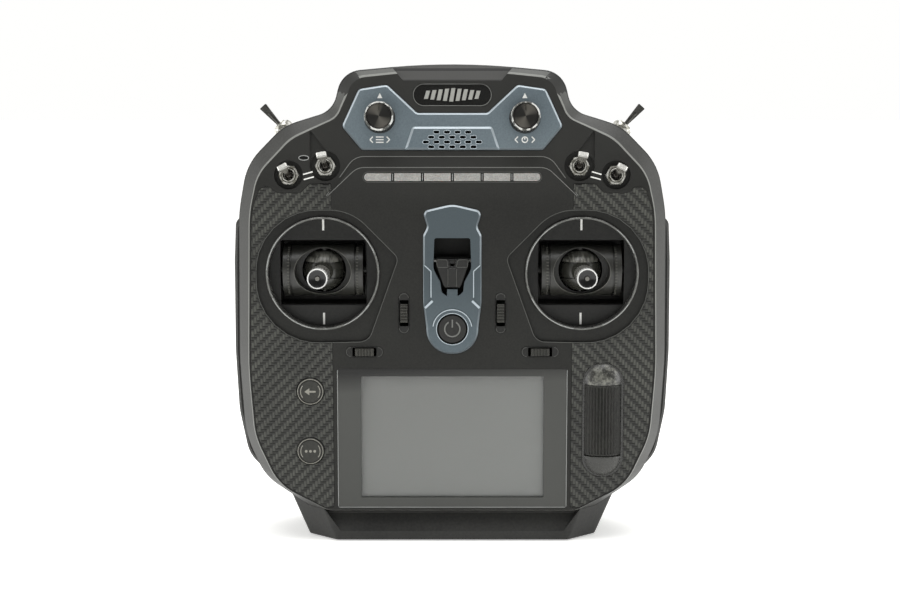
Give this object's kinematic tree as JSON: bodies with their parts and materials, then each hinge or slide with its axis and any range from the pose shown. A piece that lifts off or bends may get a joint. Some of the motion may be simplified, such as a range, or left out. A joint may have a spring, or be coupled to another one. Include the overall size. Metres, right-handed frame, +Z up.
{
  "type": "radio transmitter controller",
  "caption": "Handheld radio control transmitter with control sticks, display, toggle switches, knobs, trims, thumb roller and neck-strap hook, standing on its foot",
  "frame": {"origin": "middle of the whole box, on the plane of the foot pads", "axes": "+X to the right seen from the front, the sticks point to -Y, +Z up towards the knobs"},
  "size_m": [0.196, 0.086, 0.2119],
  "materials": {
    "case_black": "fine spark-eroded texture",
    "rubber": "soft-touch matt",
    "carbon_weave": "twill weave under satin lacquer",
    "plaque_blue": "brushed, satin anodised",
    "gloss_black": "polished",
    "light_diffuser": "translucent, satin",
    "chrome": "polished",
    "gunmetal": "satin",
    "gimbal_black": "moulded",
    "stick_metal": "knurled, polished",
    "knob_black": "moulded",
    "control_black": "satin",
    "screen_glass": "clear, hard coated",
    "lcd_grey": "unlit display",
    "inner_plastic": "moulded",
    "circuit_board": "solder mask",
    "steel": "zinc plated"
  },
  "bodies": {
    "housing": {"front_cover": "case_black", "rear_cover": "case_black", "base_foot": "case_black", "module_bay_cover": "case_black", "battery_cover": "case_black", "grips": "rubber", "foot_pads": "rubber", "screen_gasket": "rubber", "side_panels": "carbon_weave", "roller_bezel": "carbon_weave", "console_plaque": "plaque_blue", "centre_plaque": "plaque_blue", "badge_window": "gloss_black", "trim_bezels": "gloss_black", "light_bar": "light_diffuser", "gimbal_bezels": "chrome", "switch_nuts": "chrome", "switch_bodies": "gunmetal", "gimbal_plates": "gimbal_black", "gimbal_frames": "gimbal_black", "hook_tray": "gimbal_black", "control_brackets": "gimbal_black", "gimbal_sensors": "gimbal_black", "button_switches": "control_black", "screen_glass": "screen_glass", "lcd_panel": "lcd_grey", "lcd_module": "inner_plastic", "knob_pots": "inner_plastic", "speaker": "inner_plastic", "battery_pack": "inner_plastic", "main_board": "circuit_board", "antenna_and_light_boards": "circuit_board", "case_screws": "steel", "axle_pins": "steel", "gimbal_springs": "steel", "vibration_motor": "steel", "usb_socket": "steel"},
    "cradle_left": {"gimbal_cradle_left": "gimbal_black"},
    "stick_left": {"gimbal_ball_left": "gimbal_black", "stick_end_left": "stick_metal"},
    "knob_left": {"knob_left": "knob_black"},
    "toggle_inner_left": {"toggle_inner_left": "chrome"},
    "toggle_outer_left": {"toggle_outer_left": "chrome"},
    "toggle_shoulder_left": {"toggle_shoulder_left": "gunmetal"},
    "trim_pitch_left": {"trim_pitch_left": "control_black"},
    "trim_roll_left": {"trim_roll_left": "control_black"},
    "cradle_right": {"gimbal_cradle_right": "gimbal_black"},
    "stick_right": {"gimbal_ball_right": "gimbal_black", "stick_end_right": "stick_metal"},
    "knob_right": {"knob_right": "knob_black"},
    "toggle_inner_right": {"toggle_inner_right": "chrome"},
    "toggle_outer_right": {"toggle_outer_right": "chrome"},
    "toggle_shoulder_right": {"toggle_shoulder_right": "gunmetal"},
    "trim_pitch_right": {"trim_pitch_right": "control_black"},
    "trim_roll_right": {"trim_roll_right": "control_black"},
    "button_upper": {"button_upper": "control_black"},
    "button_lower": {"button_lower": "control_black"},
    "power_button": {"power_button": "control_black"},
    "scroll_roller": {"scroll_roller": "knob_black"},
    "strap_hook": {"strap_hook": "control_black"}
  },
  "joints": [
    {"name": "stick_tilt_left", "type": "hinge", "parent": "housing", "child": "cradle_left", "pos_m": [-0.057, -0.0035, 0.1213], "axis": [1, 0, 0], "range_deg": [-28, 28]},
    {"name": "stick_pan_left", "type": "hinge", "parent": "cradle_left", "child": "stick_left", "pos_m": [-0.057, -0.0035, 0.1213], "axis": [0, 0, 1], "range_deg": [-28, 28], "stiffness_Nm_per_rad": 0.05},
    {"name": "knob_turn_left", "type": "hinge", "parent": "housing", "child": "knob_left", "pos_m": [-0.0316, -0.01219, 0.1885], "axis": [0, -0.9945, 0.1045], "range_deg": [-140, 140]},
    {"name": "toggle_inner_left_throw", "type": "hinge", "parent": "housing", "child": "toggle_inner_left", "pos_m": [-0.0555, -0.01357, 0.16772], "axis": [0.9848, 0.0182, 0.1727], "range_deg": [0, 36]},
    {"name": "toggle_outer_left_throw", "type": "hinge", "parent": "housing", "child": "toggle_outer_left", "pos_m": [-0.0715, -0.01398, 0.16382], "axis": [0.8829, 0.0491, 0.4669], "range_deg": [0, 26]},
    {"name": "toggle_shoulder_left_throw", "type": "hinge", "parent": "housing", "child": "toggle_shoulder_left", "pos_m": [-0.07621, 0.0032, 0.18463], "axis": [0.7431, 0, 0.6691], "range_deg": [-14, 14]},
    {"name": "trim_pitch_left_rock", "type": "hinge", "parent": "housing", "child": "trim_pitch_left", "pos_m": [-0.0213, -0.004, 0.1032], "axis": [1, 0, 0], "range_deg": [-5, 5], "stiffness_Nm_per_rad": 0.01},
    {"name": "trim_roll_left_rock", "type": "hinge", "parent": "housing", "child": "trim_roll_left", "pos_m": [-0.0388, -0.004, 0.0859], "axis": [0, 0, 1], "range_deg": [-5, 5], "stiffness_Nm_per_rad": 0.01},
    {"name": "stick_tilt_right", "type": "hinge", "parent": "housing", "child": "cradle_right", "pos_m": [0.057, -0.0035, 0.1213], "axis": [1, 0, 0], "range_deg": [-28, 28], "stiffness_Nm_per_rad": 0.05},
    {"name": "stick_pan_right", "type": "hinge", "parent": "cradle_right", "child": "stick_right", "pos_m": [0.057, -0.0035, 0.1213], "axis": [0, 0, 1], "range_deg": [-28, 28], "stiffness_Nm_per_rad": 0.05},
    {"name": "knob_turn_right", "type": "hinge", "parent": "housing", "child": "knob_right", "pos_m": [0.0316, -0.01219, 0.1885], "axis": [0, -0.9945, 0.1045], "range_deg": [-140, 140]},
    {"name": "toggle_inner_right_throw", "type": "hinge", "parent": "housing", "child": "toggle_inner_right", "pos_m": [0.0555, -0.01357, 0.16772], "axis": [0.9848, -0.0182, -0.1727], "range_deg": [0, 36]},
    {"name": "toggle_outer_right_throw", "type": "hinge", "parent": "housing", "child": "toggle_outer_right", "pos_m": [0.0715, -0.01398, 0.16382], "axis": [0.8829, -0.0491, -0.4669], "range_deg": [0, 26]},
    {"name": "toggle_shoulder_right_throw", "type": "hinge", "parent": "housing", "child": "toggle_shoulder_right", "pos_m": [0.07621, 0.0032, 0.18463], "axis": [0.7431, 0, -0.6691], "range_deg": [-14, 14]},
    {"name": "trim_pitch_right_rock", "type": "hinge", "parent": "housing", "child": "trim_pitch_right", "pos_m": [0.0213, -0.004, 0.1032], "axis": [1, 0, 0], "range_deg": [-5, 5], "stiffness_Nm_per_rad": 0.01},
    {"name": "trim_roll_right_rock", "type": "hinge", "parent": "housing", "child": "trim_roll_right", "pos_m": [0.0388, -0.004, 0.0859], "axis": [0, 0, 1], "range_deg": [-5, 5], "stiffness_Nm_per_rad": 0.01},
    {"name": "button_upper_press", "type": "slide", "parent": "housing", "child": "button_upper", "axis": [0, 1, 0], "range_m": [0, 0.0009], "stiffness_N_per_m": 400},
    {"name": "button_lower_press", "type": "slide", "parent": "housing", "child": "button_lower", "axis": [0, 1, 0], "range_m": [0, 0.0009], "stiffness_N_per_m": 400},
    {"name": "power_button_press", "type": "slide", "parent": "housing", "child": "power_button", "axis": [0, 1, 0], "range_m": [0, 0.0009], "stiffness_N_per_m": 400},
    {"name": "roller_spin", "type": "hinge", "parent": "housing", "child": "scroll_roller", "pos_m": [0.0668, -0.0082, 0.0553], "axis": [0, 0, 1], "continuous": true},
    {"name": "strap_hook_fold", "type": "hinge", "parent": "housing", "child": "strap_hook", "pos_m": [0, -0.0102, 0.126], "axis": [-1, 0, 0], "range_deg": [0, 85]}
  ]
}
